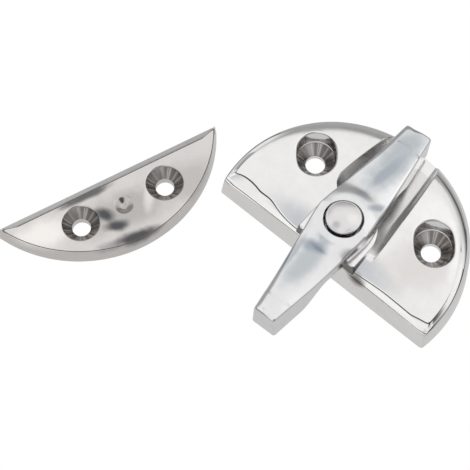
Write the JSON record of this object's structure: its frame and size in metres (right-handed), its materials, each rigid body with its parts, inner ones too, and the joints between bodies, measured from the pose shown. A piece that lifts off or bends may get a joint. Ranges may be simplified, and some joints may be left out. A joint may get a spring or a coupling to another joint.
{
  "type": "boat door latch",
  "caption": "Turn-button door latch: a sprung two-armed button on a half-round base plate, with a separate half-round keeper plate that it closes over.",
  "frame": {"origin": "midway between the base plate's two screw holes, on the surface that the base plate is screwed to", "axes": "+X along the straight front of the base plate, +Y from that front towards the round side, +Z away from the door"},
  "size_m": [0.0994, 0.0855, 0.0179],
  "materials": {
    "polished_casting": "mirror-polished cast stainless steel",
    "polished_pin": "polished turned stainless steel",
    "plain_steel": "plain stamped stainless steel",
    "spring_steel": "drawn stainless spring wire",
    "plastic": "black acetal"
  },
  "bodies": {
    "base": {"base_plate": "polished_casting", "pivot_bush": "plastic", "hub_washer": "plastic", "pivot_pin": "polished_pin", "rivet_washer": "plain_steel"},
    "spring_seat": {"spring_washer": "plain_steel", "pivot_spring": "spring_steel"},
    "button": {"turn_button": "polished_casting"},
    "keeper": {"keeper_plate": "polished_casting"}
  },
  "joints": [
    {"name": "button_lift", "type": "slide", "parent": "base", "child": "spring_seat", "axis": [0, 0, 1], "range_m": [0, 0.0055], "stiffness_N_per_m": 3200, "springref_m": -0.003, "deforming": ["pivot_spring"]},
    {"name": "button_turn", "type": "hinge", "parent": "spring_seat", "child": "button", "pos_m": [0, -0.0126, 0.011], "axis": [0, 0, 1], "range_deg": [-6.8, 2.6]},
    {"name": "keeper_lift", "type": "slide", "parent": "base", "child": "keeper", "axis": [0, 0, 1], "range_m": [0, 0.03]}
  ]
}
